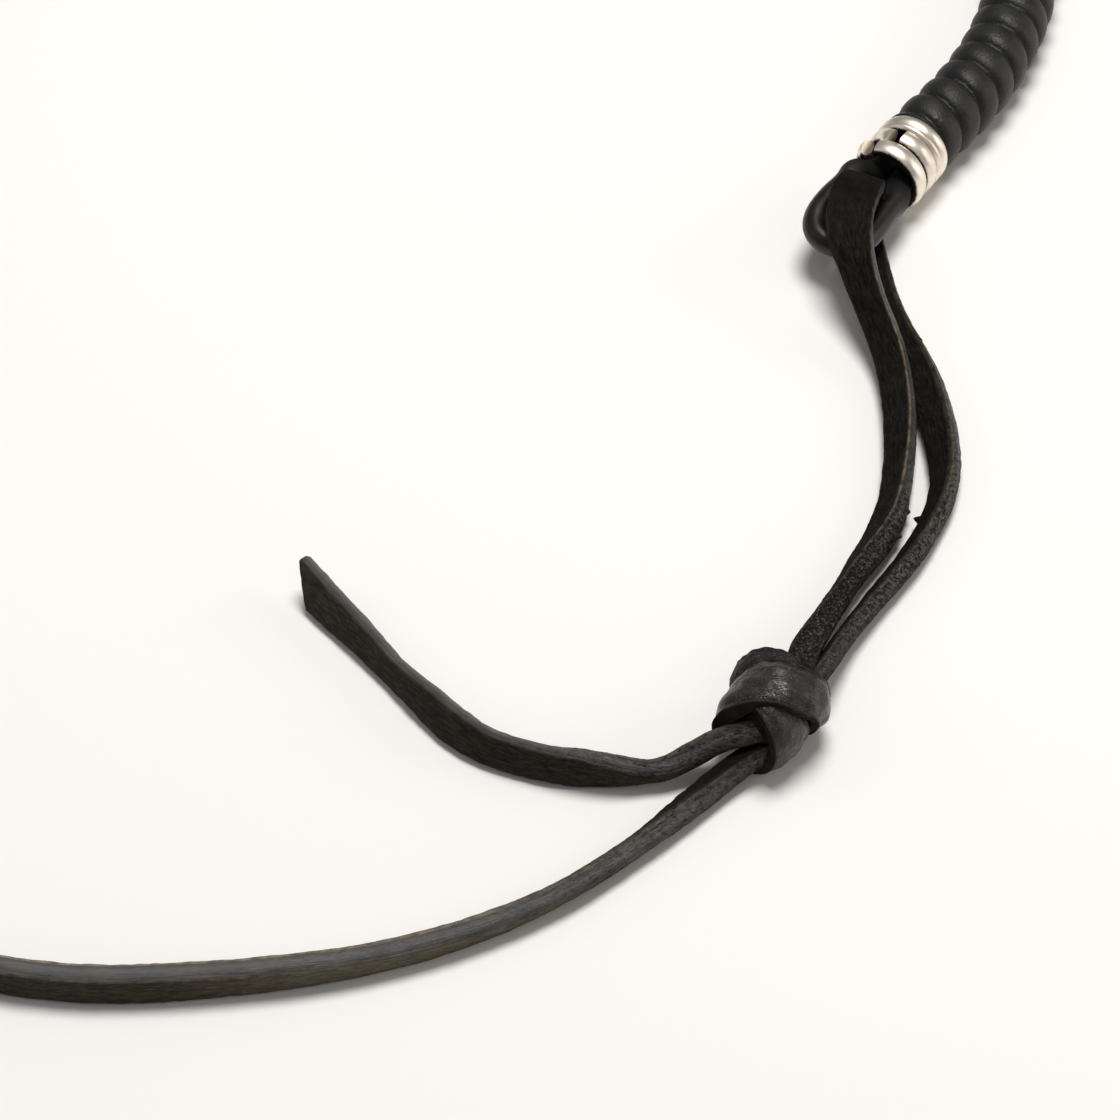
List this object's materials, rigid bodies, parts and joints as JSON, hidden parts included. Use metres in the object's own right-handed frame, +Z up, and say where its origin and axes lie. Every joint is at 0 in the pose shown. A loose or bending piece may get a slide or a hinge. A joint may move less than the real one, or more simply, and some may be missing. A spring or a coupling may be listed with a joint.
{
  "type": "leather necklace",
  "caption": "Black leather necklace laid out in a whole loop: a wound strand, a silver wire wrap with a leather eye, and a flat lace tied through the eye in an overhand knot.",
  "frame": {"origin": "centre of the bottom of the box round the wound strand, the wire wrap, the eye and the sleeve, on the table that the necklace lies on", "axes": "+Z up from the table, +Y away from the camera of the picture, +X to its right"},
  "size_m": [0.1369, 0.1847, 0.0089],
  "materials": {
    "wound_leather": "smooth black leather with a soft sheen",
    "cord_leather": "smooth black leather, slightly worn",
    "lace_leather": "worn black leather with a fine grain and brown raw edges",
    "silver_wire": "polished silver",
    "silver_sleeve": "polished silver"
  },
  "bodies": {
    "root": {"wound_strand": "wound_leather", "wire_wrap": "silver_wire", "leather_eye": "cord_leather", "end_sleeve": "silver_sleeve", "lace_legs": "lace_leather", "lace_tail": "lace_leather", "lace_lead": "lace_leather", "lace_knot": "lace_leather"}
  },
  "joints": []
}
